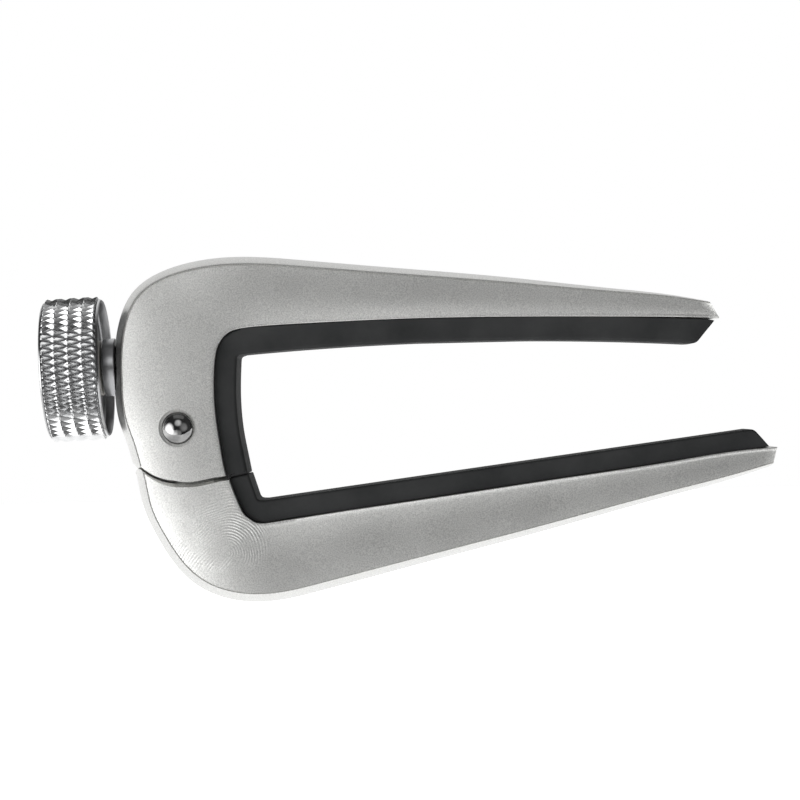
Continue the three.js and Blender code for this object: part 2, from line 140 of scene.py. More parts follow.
# ---- meshes ------------------------------------------------------------------------------
def make_object(name, verts, faces):
    """A mesh in millimetres, with double points joined and its faces turned one way."""
    mesh = bpy.data.meshes.new(name)
    mesh.from_pydata([tuple(v) for v in np.asarray(verts, float)], [], faces)
    mesh.validate()
    obj = bpy.data.objects.new(name, mesh)
    scene.collection.objects.link(obj)
    bm = bmesh.new()
    bm.from_mesh(mesh)
    bmesh.ops.remove_doubles(bm, verts=bm.verts, dist=1e-4)
    bmesh.ops.recalc_face_normals(bm, faces=bm.faces)
    bm.to_mesh(mesh)
    bm.free()
    return obj


def grid_faces(rows, columns, closed_columns=True):
    faces = []
    for i in range(rows - 1):
        for j in range(columns if closed_columns else columns - 1):
            k = (j + 1) % columns
            faces.append((i * columns + j, i * columns + k,
                          (i + 1) * columns + k, (i + 1) * columns + j))
    return faces


def loft(name, sections):
    """Skins closed sections of equal point count and caps both ends."""
    rows, columns = len(sections), len(sections[0])
    faces = grid_faces(rows, columns)
    faces.append(tuple(range(columns))[::-1])
    faces.append(tuple(range((rows - 1) * columns, rows * columns)))
    return make_object(name, np.concatenate(sections), faces)


def wedge(name, near, near_y, far, far_y):
    """Two outlines of equal point count at two depths, joined."""
    n = len(near)
    verts = [(x, near_y, z) for x, z in near] + [(x, far_y, z) for x, z in far]
    faces = [(i, (i + 1) % n, n + (i + 1) % n, n + i) for i in range(n)]
    faces += [tuple(range(n)), tuple(range(n, 2 * n))[::-1]]
    return make_object(name, verts, faces)


def plate(name, outline, half_width):
    """An outline in X and Z pulled through the depth."""
    return wedge(name, outline, -half_width, outline, half_width)


def turned(name, profile, place, segments=96):
    """A turned piece: pairs of radius and distance along the axis; place turns
    (along, across, up) into a point."""
    rows = []
    for radius, along in profile:
        ring = []
        for i in range(segments):
            turn = 2 * math.pi * i / segments
            ring.append(place(along, radius * math.cos(turn), radius * math.sin(turn)))
        rows.append(ring)
    faces = grid_faces(len(rows), segments)
    return make_object(name, np.concatenate(rows), faces)


def on_pivot(along, across, up):
    return (PIVOT[0] + across, along, PIVOT[1] + up)


def on_screw(along, across, up):
    c, s = math.cos(SCREW_TILT), math.sin(SCREW_TILT)
    return (SCREW_FACE[0] + along * c - up * s, across, SCREW_FACE[1] + along * s + up * c)


def from_screw(point):
    c, s = math.cos(SCREW_TILT), math.sin(SCREW_TILT)
    x, z = point[0] - SCREW_FACE[0], point[2] - SCREW_FACE[1]
    return x * c + z * s, point[1], z * c - x * s


def round_corner(before, corner, after, radius, share, steps):
    """Points of a curve in place of a corner; it takes at most the share of either side."""
    p = np.array(corner, float)
    a = np.array(before, float) - p
    b = np.array(after, float) - p
    cut = min(radius, np.linalg.norm(a) * share, np.linalg.norm(b) * share)
    start = p + a / np.linalg.norm(a) * cut
    end = p + b / np.linalg.norm(b) * cut
    curve = []
    for k in range(steps + 1):
        f = k / steps
        curve.append((1 - f) ** 2 * start + 2 * f * (1 - f) * p + f * f * end)
    return curve


def soften(profile, radius):
    """Rounds the corners of a profile of (radius, along) pairs, all but its two ends."""
    out = [profile[0]]
    for before, corner, after in zip(profile, profile[1:], profile[2:]):
        out += round_corner(before, corner, after, radius, 0.45, 4)
    out.append(profile[-1])
    return out


def combine(obj, operation, others):
    """Combines the others with the object, one after another, and removes them."""
    for other in others:
        modifier = obj.modifiers.new("combine", "BOOLEAN")
        modifier.operation = operation
        modifier.solver = "MANIFOLD"
        modifier.object = other
        apply_modifiers(obj)
        bpy.data.objects.remove(other)


def cut_away(obj, *cutters):
    combine(obj, "DIFFERENCE", cutters)


def join_on(obj, *others):
    combine(obj, "UNION", others)


def keep_within(obj, *limits):
    combine(obj, "INTERSECT", limits)


def apply_modifiers(obj):
    bpy.context.view_layer.update()
    graph = bpy.context.evaluated_depsgraph_get()
    mesh = bpy.data.meshes.new_from_object(obj.evaluated_get(graph))
    obj.modifiers.clear()
    old = obj.data
    obj.data = mesh
    bpy.data.meshes.remove(old)


def to_metres(obj):
    obj.data.transform(Matrix.Scale(MM, 4))


def smooth(obj, angle=32, weighted=True):
    """Smooth faces with sharp edges kept, and normals led by the large faces."""
    mesh = obj.data
    mesh.shade_smooth()
    mesh.set_sharp_from_angle(angle=math.radians(angle))
    if weighted:
        modifier = obj.modifiers.new("weighted", "WEIGHTED_NORMAL")
        modifier.mode = "FACE_AREA"
        modifier.weight = 60
        modifier.keep_sharp = True


# ---- arms --------------------------------------------------------------------------------
SPLIT_GAP = 0.22     # the line between the closed arms
LIP_REACH = 1.6      # the flared lip at an arm's tip, along the arm
LIP_HEIGHT = 0.16
RIM_WIDTH = 0.4      # raised rim beside the pad
RIM_DROP = 0.05
PAD_EDGE_ROUND = 0.14
FACE_HOLLOW = 0.17   # slope of the hollow face at its edges
PAD_LINE = 0.03      # the joint between metal and pad
FACE_DROP = 0.55     # how far the housing's face falls away towards its back edge
DROP_STARTS, DROP_SPAN = -22.0, 20.0   # along X, on the crest
EDGE_CHAMFER = 0.08
EDGE_GROOVE = 0.085  # fine line just inside the long outer edges
FACE_STEPS, CROWN_STEPS = 28, 12
TIP_STRETCH, TIP_STEPS, ARM_STEPS = 3, 25, 250    # sections lie closer near the tip
SPLIT_EDGE_START, SPLIT_EDGE_END = 5.3, 6.9       # the broken edge, along Y
CUTTER_REACH = 8     # half width of a cutter, past both faces of an arm
BEYOND = 9           # past both ends of such a cutter


def arm_section(pad, crest, half_width, crown, lip, fall):
    """One cross-section; lip is how far the front and back stand out at the tip, fall how
    far the face drops away towards the crest."""
    across = crest - pad
    height = np.linalg.norm(across)
    across = across / height
    edge = height - crown
    start = PAD_LINE
    side = []
    for k in range(4):
        turn = math.pi / 2 * k / 3
        side.append((start + PAD_EDGE_ROUND * (1 - math.cos(turn)),
                     half_width - PAD_EDGE_ROUND * (1 - math.sin(turn))))
    face_from, face_to = start + PAD_EDGE_ROUND, edge - EDGE_CHAMFER - 2 * EDGE_GROOVE
    width = face_to - face_from
    hollow = FACE_HOLLOW * width / 4 * (1 - fall / FACE_DROP)
    for k in range(1, FACE_STEPS + 1):
        f = k / FACE_STEPS
        a = face_from + width * f
        rim = min(1.0, (a - face_from) / RIM_WIDTH)
        dip = 4 * f * (1 - f) if f < 0.5 else 1 - 0.5 * (2 * f - 1) ** 2
        y = half_width - hollow * dip - fall * f ** 3
        y -= RIM_DROP * rim * rim * (3 - 2 * rim) * (1 - fall / FACE_DROP)
        side.append((a, y))
    outer = side[-1][1] + lip
    side.append((face_to + EDGE_GROOVE, outer - lip - EDGE_GROOVE))
    side.append((face_to + 2 * EDGE_GROOVE, outer - lip))
    side = [(a, y + lip) for a, y in side]
    side.append((edge, outer - EDGE_CHAMFER * 0.8))
    wide = outer - EDGE_CHAMFER * 0.8
    back = []
    for k in range(1, 2 * CROWN_STEPS):
        share = 1 - k / CROWN_STEPS
        back.append((height - crown * share * share, wide * share))
    mirrored = [(a, -y) for a, y in side][::-1]
    return np.array([(pad[0] + across[0] * a, y, pad[1] + across[1] * a)
                     for a, y in [*side, *back, *mirrored]])


def arm_blank(name, stations, tip_first):
    table = np.array(stations)
    middle = (table[:, 0:2] + 2 * table[:, 2:4]) / 3
    along = np.concatenate([[0], np.cumsum(np.linalg.norm(np.diff(middle, axis=0), axis=1))])
    rail = natural_spline(along, table)
    length = along[-1]
    near = np.linspace(0, TIP_STRETCH, TIP_STEPS)
    far = np.linspace(TIP_STRETCH, length, ARM_STEPS)[1:]
    from_tip = np.concatenate([near, far])
    places = from_tip if tip_first else (length - from_tip)[::-1]
    sections = []
    for place in places:
        row = rail(place)[0]
        gone = place if tip_first else length - place
        lip = LIP_HEIGHT * max(0.0, 1 - gone / LIP_REACH) ** 2
        near_hinge = max(0.0, min(1.0, (DROP_STARTS - row[2]) / DROP_SPAN))
        fall = FACE_DROP * near_hinge ** 2 * (3 - 2 * near_hinge)
        sections.append(arm_section(row[0:2], row[2:4], row[4], row[5], lip, fall))
    return loft(name, sections)


def barrel(name, clearance):
    """The crowned round end of the housing, with straight ends past both sides."""
    crowned = []
    for k in range(-CROWN_STEPS, CROWN_STEPS + 1):
        share = k / CROWN_STEPS
        radius = BARREL_RADIUS + clearance - BARREL_CROWN * share ** 2
        crowned.append((radius, BARREL_HALF_WIDTH * share))
    profile = [(0, -CUTTER_REACH), (crowned[0][0], -CUTTER_REACH), *crowned,
               (crowned[-1][0], CUTTER_REACH), (0, CUTTER_REACH)]
    return turned(name, profile, on_pivot, 180)


def split_fan(clearance):
    """The region round the pivot that lies inside the parting line."""
    curve = chord_spline(SPLIT_LINE, 60)
    fan = around_pivot(curve[:, 0], curve[:, 1] + clearance)
    return np.concatenate([[PIVOT], fan])


def sector(start, end, distance):
    return np.concatenate([[PIVOT], around_pivot(np.linspace(start, end, 40), distance)])


def tail_slot():
    return [(-31.6, -17.2), (-34.2, -13.6), (-34.1, -8.0), (-34.1, 0.6), (-35.1, 1.7),
            (-42.1, 1.7), (-43.15, 0.6), (-43.15, -10.4),
            around_pivot(75, 4.95), around_pivot(64, 6.0), around_pivot(56, 6.5),
            around_pivot(47, 6.55), around_pivot(44, 12), (-46, -24), (-31.6, -24)]


trunnion_turn = SCREW_TILT + OPEN_ANGLE / 2
TRUNNION = PIVOT + LEVER * np.array([-math.sin(trunnion_turn), math.cos(trunnion_turn)])


def on_trunnion(along, across, up):
    return (TRUNNION[0] + across, along, TRUNNION[1] + up)


def tail_outline():
    turns = np.radians(np.linspace(-12, 180, 48))
    head = TRUNNION + HEAD_RADIUS * np.column_stack([np.cos(turns), np.sin(turns)])
    return [(-32.3, -19.5), (-32.45, -17.5), (-34.75, -13.9), (-34.6, -10.4), *head,
            (PIVOT[0] - 4.6, PIVOT[1]), around_pivot(75, 4.6), around_pivot(60, 4.7),
            around_pivot(47, 6.0), around_pivot(38, 6.2), around_pivot(33, 6.2),
            around_pivot(31, 8.2), (-42.2, -19.5)]


def split_edges(arm):
    """Breaks the edges of the neck arm along the split, front and back."""
    for side in (-1, 1):
        outside = side * SPLIT_EDGE_END
        cone = [(0, side * 5.2), (7.0, side * 5.2), (8.3, outside), (0, outside)]
        cut_away(
            arm,
            wedge("front_edge", split_fan(1.1), outside, split_fan(0.0), side * SPLIT_EDGE_START),
            turned("rear_edge", cone, on_pivot),
        )


def disc(radius, start, end):
    return [(0, start), (radius, start), (radius, end), (0, end)]


def make_upper_arm():
    arm = arm_blank("string_arm_body", STRING_ARM, False)
    away = plate("away", sector(-55, 66, 14), CUTTER_REACH)
    keep = barrel("keep", -SPLIT_GAP / 2)
    keep_within(keep, plate("rear", sector(5, 71, 12), BEYOND))
    cut_away(away, keep, plate("fan", split_fan(-SPLIT_GAP / 2), BEYOND))
    slot_start, slot_floor, slot_end = 10, 4.5, 12
    rib_slot = [around_pivot(slot_start, slot_floor), around_pivot(RIB_SLOT_ANGLE, slot_floor),
                around_pivot(RIB_SLOT_ANGLE, slot_end), around_pivot(slot_start, slot_end)]
    cut_away(
        arm, away,
        plate("slot", tail_slot(), SLOT_HALF_WIDTH),
        plate("rib_slot", rib_slot, RIB_HALF_WIDTH + GAP),
        turned("pin_bore", disc(PIN_BORE_RADIUS, -BEYOND, BEYOND), on_pivot),
        turned("front_seat", disc(PIN_SEAT_RADIUS, -BEYOND, -PIN_SEAT_DEPTH), on_pivot),
        turned("rear_seat", disc(PIN_SEAT_RADIUS, PIN_SEAT_DEPTH, BEYOND), on_pivot),
        turned("sleeve_bore", disc(SLEEVE_BORE_RADIUS, -2, 6), on_screw),
        turned("sleeve_seat", disc(SLEEVE_SEAT_RADIUS, -2, SLEEVE_SEAT_END), on_screw),
    )
    return arm


def make_lower_arm():
    arm = arm_blank("neck_arm_body", NECK_ARM, True)
    cut_away(
        arm, barrel("barrel", SPLIT_GAP / 2),
        plate("fan", split_fan(SPLIT_GAP / 2), CUTTER_REACH),
        plate("beyond", sector(RIB_ANGLE, 120, 16), CUTTER_REACH),
    )
    split_edges(arm)
    rib = [around_pivot(20, 4.5), around_pivot(RIB_ANGLE, 4.9), around_pivot(RIB_ANGLE, 8.3),
           (-42.8, -19.2), (-40.0, -19.2)]
    join_on(arm, plate("tail", tail_outline(), TAIL_HALF_WIDTH), plate("rib", rib, RIB_HALF_WIDTH))
    cut_away(arm, turned("bush_bore", disc(BUSH_BORE_RADIUS, -5, 5), on_pivot),
             turned("trunnion_bore", disc(TRUNNION_RADIUS + GAP, -5, 5), on_trunnion))
    return arm


# ---- pads --------------------------------------------------------------------------------
PAD_RADIUS, PAD_FLAT = 406, 7     # radius of the string pad's crown, half of its flat middle
PAD_WIDEST, PAD_NARROWEST, PAD_TAPER = 5.35, 3.8, 0.0225      # half widths
NECK_FACE_LEVEL, NECK_FACE_RISE = -16.6, 0.1232
PAD_ROUNDING = 0.15               # least rounding of a pad's long edges
PAD_ROUND_STEPS = 6


def pad_face(x):
    """Height of the string pad's pressing face."""
    return 0.0 if abs(x) <= PAD_FLAT else -(x * x - PAD_FLAT ** 2) / (2 * PAD_RADIUS)


def pad_half_width(x):
    return min(PAD_WIDEST, max(PAD_NARROWEST, PAD_WIDEST - PAD_TAPER * (x + 30)))


def rounded(points, radius):
    """Rounds the corners of a closed outline; radius is one number per corner."""
    out = []
    n = len(points)
    for i in range(n):
        if radius[i] == 0:
            out.append(points[i])
        else:
            out += round_corner(points[i - 1], points[i], points[(i + 1) % n], radius[i], 0.48, 6)
    return np.array(out, float)


def even(points, step):
    """Adds points so that no side is longer than step."""
    out = []
    n = len(points)
    for i in range(n):
        a, b = points[i], points[(i + 1) % n]
        count = max(1, int(math.ceil(np.linalg.norm(b - a) / step)))
        for k in range(count):
            out.append(a + (b - a) * k / count)
    return np.array(out)


def pad_mesh(name, outline, edge_radius):
    """A moulded pad: the outline pulled through the depth with rounded front and back edges.
    edge_radius gives the rounding for a point of the outline."""
    p = even(outline, 0.5)
    area = 0.5 * np.sum(p[:, 0] * np.roll(p[:, 1], -1) - np.roll(p[:, 0], -1) * p[:, 1])
    if area < 0:
        p = p[::-1]
    n = len(p)
    ahead = np.roll(p, -1, 0) - p
    ahead /= np.linalg.norm(ahead, axis=1)[:, None]
    behind = np.roll(ahead, 1, 0)
    tangent = ahead + behind
    tangent /= np.linalg.norm(tangent, axis=1)[:, None]
    inward = np.column_stack([-tangent[:, 1], tangent[:, 0]])
    radius = np.array([edge_radius(q) for q in p])
    rows = []
    for side in (-1, 1):
        layers = []
        for k in range(PAD_ROUND_STEPS + 1):
            turn = math.pi / 2 * k / PAD_ROUND_STEPS
            inset = radius * (1 - math.sin(turn))
            drop = radius * (1 - math.cos(turn))
            q = p + inward * inset[:, None]
            half = np.array([pad_half_width(x) for x in q[:, 0]])
            layers.append(np.column_stack([q[:, 0], side * (half - drop), q[:, 1]]))
        rows += layers if side < 0 else layers[::-1]
    faces = grid_faces(len(rows), n)
    faces.append(tuple(range(n))[::-1])
    faces.append(tuple(range((len(rows) - 1) * n, len(rows) * n)))
    return make_object(name, np.concatenate(rows), faces)


def string_pad_outline():
    metal = chord_spline([
        (30.9, 2.2), (20.0, 2.72), (6.0, 3.02), (-8.0, 3.08), (-20.0, 2.8), (-26.5, 2.55),
        (-30.2, 2.2), (-31.6, 1.55), (-32.6, 0.4), (-33.1, -1.3), (-33.35, -5.0),
        (-33.2, -9.0), (-32.8, -12.2), (-32.35, -15.2), (-32.02, -17.05)], 130)
    back = chord_spline([(-29.3, -16.5), (-29.75, -14.0), (-30.15, -11.8), (-30.5, -8.5),
                         (-30.55, -5.0), (-30.4, -2.0)], 24)
    face = [(x, pad_face(x)) for x in np.linspace(-29.6, 28.2, 60)]
    points = [*metal, *back, (-30.33, -1.25), *face, (29.35, -0.9), (31.75, 2.0)]
    radius = [0] * len(points)
    radius[len(metal) - 1] = 0.15
    radius[len(metal)] = 0.15
    radius[len(metal) + len(back)] = 0.35
    radius[-2] = 1.1
    return rounded(points, radius)


def neck_pad_outline():
    metal = chord_spline([
        (-31.95, -17.1), (-30.95, -19.3), (-30.2, -21.0), (-29.6, -21.85), (-28.7, -22.55),
        (-27.65, -22.87), (-25.5, -22.67), (-20.0, -21.95), (-10.0, -20.68), (6.0, -18.65),
        (20.0, -16.88), (38.55, -14.55)], 120)
    back = [(-27.15, -20.03), (-28.12, -19.98), (-29.2, -16.56)]
    points = [*metal, (36.55, -12.2), *back]
    radius = [0] * len(points)
    radius[len(metal)] = 0.6
    radius[len(metal) + 2] = 0.5
    radius[-1] = 0.15
    return rounded(points, radius)


def string_pad_edge(point):
    """The pressing side is rounder than the side against the metal."""
    x, z = point
    if x > -29.9:
        return PAD_ROUNDING + 0.33 * max(0.0, min(1.0, (1.2 - z) / 0.8))
    return PAD_ROUNDING + 0.28 * max(0.0, min(1.0, (x + 32.0) / 0.8))


def neck_pad_edge(point):
    """The pressing side is rounder here too."""
    x, z = point
    top = NECK_FACE_LEVEL + NECK_FACE_RISE * x
    return PAD_ROUNDING + 0.2 * max(0.0, min(1.0, (z - top + 1.2) / 0.8))


# ---- knob --------------------------------------------------------------------------------
KNURL_COUNT = 56
KNURL_PITCH = 3.54
KNURL_DEPTH = 0.6
KNURL_STEEPNESS, KNURL_TOP = 1.12, 0.94     # the tips of the diamonds are cut off
POINTS_PER_DIAMOND, KNURL_ROWS = 12, 64
DISH_RADIUS, DISH_DEPTH = 8.55, 1.3
SCREW_HOLE_RADIUS, SCREW_HOLE_END = 1.8, -4.6

# radius and place along the screw, outer end with its pocket for the cap, then inner end
KNOB_OUTER_END = [(4.4, SCREW_HOLE_END), (4.4, -7.25), (4.62, -7.5), (5.2, -7.58), (6.6, -7.6),
                  (7.9, -7.66), (8.6, -7.7), (8.8, -7.68), (8.95, -7.6), (9.0, -7.48)]
KNOB_INNER_END = [(9.0, -0.36), (9.08, -0.3), (8.93, -0.08), (8.85, 0.0), (8.72, 0.0),
                  (8.6, -0.1), (DISH_RADIUS, -0.25), (DISH_RADIUS, -1.1), (8.35, -DISH_DEPTH),
                  (4.1, -DISH_DEPTH), (SCREW_HOLE_RADIUS, -DISH_DEPTH),
                  (SCREW_HOLE_RADIUS, SCREW_HOLE_END)]


def make_knob():
    """Straight-sided diamonds where two sets of helices cross, between two turned ends."""
    around = KNURL_COUNT * POINTS_PER_DIAMOND
    rim_from, rim_to = -KNOB_LENGTH + 0.3, -0.42
    along = np.linspace(rim_from, rim_to, KNURL_ROWS)
    turn = 2 * math.pi * np.arange(around) / around
    rows = []

    def ring(place, radius):
        radius = np.broadcast_to(radius, around)
        rows.append(np.array([on_screw(place, r * math.cos(t), r * math.sin(t))
                              for r, t in zip(radius, turn)]))

    for radius, place in KNOB_OUTER_END:
        ring(place, radius)
    for place in along:
        u = KNURL_COUNT * turn / (2 * math.pi)
        v = (place - rim_from) / KNURL_PITCH
        one = np.abs(((u + v) % 1) - 0.5) * 2
        two = np.abs(((u - v) % 1) - 0.5) * 2
        height = 1 - np.maximum(one, two)
        height = np.minimum(height * KNURL_STEEPNESS, KNURL_TOP)
        fade = min(1.0, (place - rim_from) / 0.25 + 0.15, (rim_to - place) / 0.2 + 0.1)
        ring(place, KNOB_RADIUS - KNURL_DEPTH * (1 - height * fade))
    for radius, place in KNOB_INNER_END:
        ring(place, radius)
    faces = grid_faces(len(rows), around)
    last = (len(rows) - 1) * around
    for j in range(around):
        k = (j + 1) % around
        faces.append((last + j, last + k, k, j))
    return make_object("thumb_knob_knurled", np.concatenate(rows), faces)


DISH_MATERIAL, END_MATERIAL = 1, 2


def face_knob(knob):
    """Gives the turned dish and the turned outer end materials of their own, darker copies of the
    knob's aluminium with painted shade.
    """
    knob.data.materials.append(FACED_WITH_PAINTED_SHADE)
    knob.data.materials.append(MACHINED_WITH_PAINTED_SHADE)
    for face in knob.data.polygons:
        along, across, up = from_screw(face.center / MM)
        if along > -DISH_DEPTH - 0.1 and math.hypot(across, up) < 8.97:
            face.material_index = DISH_MATERIAL
        elif along < -KNOB_LENGTH + 0.36 and math.hypot(across, up) < 8.5:
            face.material_index = END_MATERIAL


# ---- turned pieces -----------------------------------------------------------------------
def make_pin():
    """A rivet with the same dome at both ends."""
    dome = [(0, 6.95), (0.5, 6.91), (0.95, 6.8), (1.35, 6.62), (1.7, 6.38), (1.95, 6.12),
            (2.08, 5.95), (2.08, 5.75)]
    profile = [*[(r, -y) for r, y in dome], (1.5, -5.75), (1.5, 5.75), *dome[::-1]]
    return turned("pivot_pin_domed", profile, on_pivot)


def make_sleeve():
    profile = [(1.8, 1.0), (1.8, -0.2), (3.8, -0.2), (3.8, 1.47), (2.7, 1.47), (2.7, 3.0),
               (1.8, 3.0), (1.8, 1.0)]
    return turned("screw_sleeve_turned", soften(profile, 0.25), on_screw, 128)


def make_cap():
    profile = [(0, -7.4), (4.1, -7.4), (4.1, -6.6), (0, -6.6)]
    return turned("knob_end_cap_turned", soften(profile, 0.35), on_screw, 128)


# ---- materials ---------------------------------------------------------------------------
def new_material(name):
    material = bpy.data.materials.new(name)
    material.use_nodes = True
    nodes = material.node_tree.nodes
    shader = next(n for n in nodes if n.type == "BSDF_PRINCIPLED")
    return material, material.node_tree, shader


def add(tree, kind, **inputs):
    node = tree.nodes.new(kind)
    for key, value in inputs.items():
        if hasattr(node, key):
            setattr(node, key, value)
        else:
            node.inputs[key.replace("_", " ")].default_value = value
    return node


def noise(tree, coords, scale, detail=3.0, roughness=0.5):
    node = add(tree, "ShaderNodeTexNoise", Scale=scale, Detail=detail, Roughness=roughness)
    tree.links.new(coords, node.inputs["Vector"])
    return node.outputs["Fac"]


def spread(tree, value, low, high, to_low=0.0, to_high=1.0):
    node = add(tree, "ShaderNodeMapRange")
    tree.links.new(value, node.inputs["Value"])
    node.inputs["From Min"].default_value = low
    node.inputs["From Max"].default_value = high
    node.inputs["To Min"].default_value = to_low
    node.inputs["To Max"].default_value = to_high
    return node.outputs["Result"]


def mix_colour(tree, factor, one, two):
    """Blends two colours; the second may be the output of another node."""
    node = add(tree, "ShaderNodeMix", data_type="RGBA")
    tree.links.new(factor, node.inputs[0])
    node.inputs[6].default_value = (*one, 1)
    if isinstance(two, tuple):
        node.inputs[7].default_value = (*two, 1)
    else:
        tree.links.new(two, node.inputs[7])
    return node.outputs[2]


def math_node(tree, operation, a, b):
    node = add(tree, "ShaderNodeMath", operation=operation)
    for socket, value in zip(node.inputs, (a, b)):
        if isinstance(value, (int, float)):
            socket.default_value = value
        else:
            tree.links.new(value, socket)
    return node.outputs[0]


def bump(tree, shader, height, distance, strength=1.0):
    node = add(tree, "ShaderNodeBump", Strength=strength, Distance=distance)
    tree.links.new(height, node.inputs["Height"])
    tree.links.new(node.outputs["Normal"], shader.inputs["Normal"])


def vector_math(tree, operation, a, b):
    node = add(tree, "ShaderNodeVectorMath", operation=operation)
    tree.links.new(a, node.inputs[0])
    node.inputs[1].default_value = b
    return node


def loop_marks(tree, coords):
    """Faint looping polishing marks on the corner of the neck arm: lines at even distances
    from a ray that leaves the core towards the lower back."""
    core, patch_centre = (-0.0320, 0.0, -0.0268), (-0.0335, -0.0062, -0.0238)
    slope = math.radians(42)
    offset = vector_math(tree, "SUBTRACT", coords, core).outputs["Vector"]
    ray = (-math.cos(slope), 0.0, -math.sin(slope))
    side = (-math.sin(slope), 0.0, math.cos(slope))
    behind = vector_math(tree, "DOT_PRODUCT", offset, ray).outputs["Value"]
    beside = vector_math(tree, "DOT_PRODUCT", offset, side).outputs["Value"]
    place = add(tree, "ShaderNodeCombineXYZ")
    tree.links.new(math_node(tree, "MINIMUM", behind, 0.0), place.inputs["X"])
    tree.links.new(beside, place.inputs["Z"])
    wave = add(tree, "ShaderNodeTexWave", wave_type="RINGS", rings_direction="Y",
               Scale=860.0, Distortion=0.0)
    sway = add(tree, "ShaderNodeTexNoise", Scale=170.0, Detail=1.0)
    tree.links.new(coords, sway.inputs["Vector"])
    tree.links.new(place.outputs["Vector"], wave.inputs["Vector"])
    tree.links.new(spread(tree, sway.outputs["Fac"], 0.3, 0.7, -6.0, 6.0),
                   wave.inputs["Phase Offset"])
    reach = vector_math(tree, "DISTANCE", coords, patch_centre).outputs["Value"]
    patch = spread(tree, reach, 0.0045, 0.0085, 1.0, 0.0)
    worn = spread(tree, noise(tree, coords, 380, 2.0), 0.35, 0.6, 0.15, 1.0)
    return math_node(tree, "MULTIPLY", wave.outputs["Fac"], math_node(tree, "MULTIPLY", patch, worn))


def satin_aluminium(name, tool_marks=False):
    """Bead-blasted metal with a fine sparkling grain."""
    material, tree, shader = new_material(name)
    coords = add(tree, "ShaderNodeTexCoord").outputs["Object"]
    grain = noise(tree, coords, 9000, 2.0, 0.6)
    speck = noise(tree, coords, 6500, 2.0, 0.6)
    cloud = noise(tree, coords, 90, 4.0, 0.55)
    tint = mix_colour(tree, spread(tree, speck, 0.35, 0.65), (0.57, 0.572, 0.56),
                      (0.81, 0.81, 0.79))
    tree.links.new(tint, shader.inputs["Base Color"])
    shader.inputs["Metallic"].default_value = 1.0
    rough = math_node(tree, "ADD", spread(tree, grain, 0.25, 0.75, 0.30, 0.42),
                      spread(tree, cloud, 0.3, 0.7, -0.02, 0.03))
    tree.links.new(rough, shader.inputs["Roughness"])
    height = math_node(tree, "ADD", math_node(tree, "MULTIPLY", grain, 0.6), speck)
    if tool_marks:
        marks = loop_marks(tree, coords)
        height = math_node(tree, "ADD", height, math_node(tree, "MULTIPLY", marks, 1.5))
    bump(tree, shader, height, 0.00002, 0.75)
    return material


def knurl_crests(tree, coords):
    """One on the knurl's crests and well inside the rim of both ends, zero in the valleys;
    the valleys get painted shade.
    """
    centre = (SCREW_FACE[0] * MM, 0, SCREW_FACE[1] * MM)
    axis = (math.cos(SCREW_TILT), 0.0, math.sin(SCREW_TILT))
    offset = vector_math(tree, "SUBTRACT", coords, centre).outputs["Vector"]
    to_axis = vector_math(tree, "CROSS_PRODUCT", offset, axis).outputs["Vector"]
    length = add(tree, "ShaderNodeVectorMath", operation="LENGTH")
    tree.links.new(to_axis, length.inputs[0])
    radius = length.outputs["Value"]
    floor_radius = KNOB_RADIUS - KNURL_DEPTH
    crest = spread(tree, radius, (floor_radius + 0.02) * MM, (KNOB_RADIUS - 0.28) * MM)
    # the turned ends, below the knurl's floor, stay out of the painted valley shade
    inside = spread(tree, radius, (floor_radius - 0.16) * MM, (floor_radius - 0.06) * MM, 1.0, 0.0)
    return math_node(tree, "MAXIMUM", crest, inside)


def bright_aluminium(name):
    """Machined metal with painted shade in the knurl valleys."""
    material, tree, shader = new_material(name)
    coords = add(tree, "ShaderNodeTexCoord").outputs["Object"]
    cloud = noise(tree, coords, 700, 4.0, 0.6)
    tint = mix_colour(tree, spread(tree, cloud, 0.3, 0.7), (0.70, 0.705, 0.71),
                      (0.82, 0.825, 0.83))
    unshaded_crests = knurl_crests(tree, coords)
    # painted shade: the dark colour goes into the knurl valleys, where shade falls
    shade = mix_colour(tree, unshaded_crests, (0.30, 0.302, 0.305), tint)
    tree.links.new(shade, shader.inputs["Base Color"])
    shader.inputs["Metallic"].default_value = 1.0
    tree.links.new(spread(tree, cloud, 0.3, 0.7, 0.13, 0.24), shader.inputs["Roughness"])
    bump(tree, shader, noise(tree, coords, 3000, 3.0), 0.00001, 0.2)
    return material


def turned_metal(name, dark, light, low, high, centre):
    """Metal with fine lathe marks round the screw or pivot axis."""
    material, tree, shader = new_material(name)
    coords = add(tree, "ShaderNodeTexCoord").outputs["Object"]
    place = add(tree, "ShaderNodeMapping")
    place.inputs["Location"].default_value = (-centre[0] * MM, 0, -centre[1] * MM)
    tree.links.new(coords, place.inputs["Vector"])
    marks = add(tree, "ShaderNodeTexWave", wave_type="RINGS", rings_direction="SPHERICAL",
                Scale=1600.0, Distortion=1.5, Detail=2.0)
    tree.links.new(place.outputs["Vector"], marks.inputs["Vector"])
    cloud = noise(tree, coords, 500, 3.0)
    tint = mix_colour(tree, spread(tree, cloud, 0.3, 0.7), dark, light)
    tree.links.new(tint, shader.inputs["Base Color"])
    shader.inputs["Metallic"].default_value = 1.0
    tree.links.new(spread(tree, cloud, 0.3, 0.7, low, high), shader.inputs["Roughness"])
    bump(tree, shader, marks.outputs["Fac"], 0.000008, 0.4)
    return material


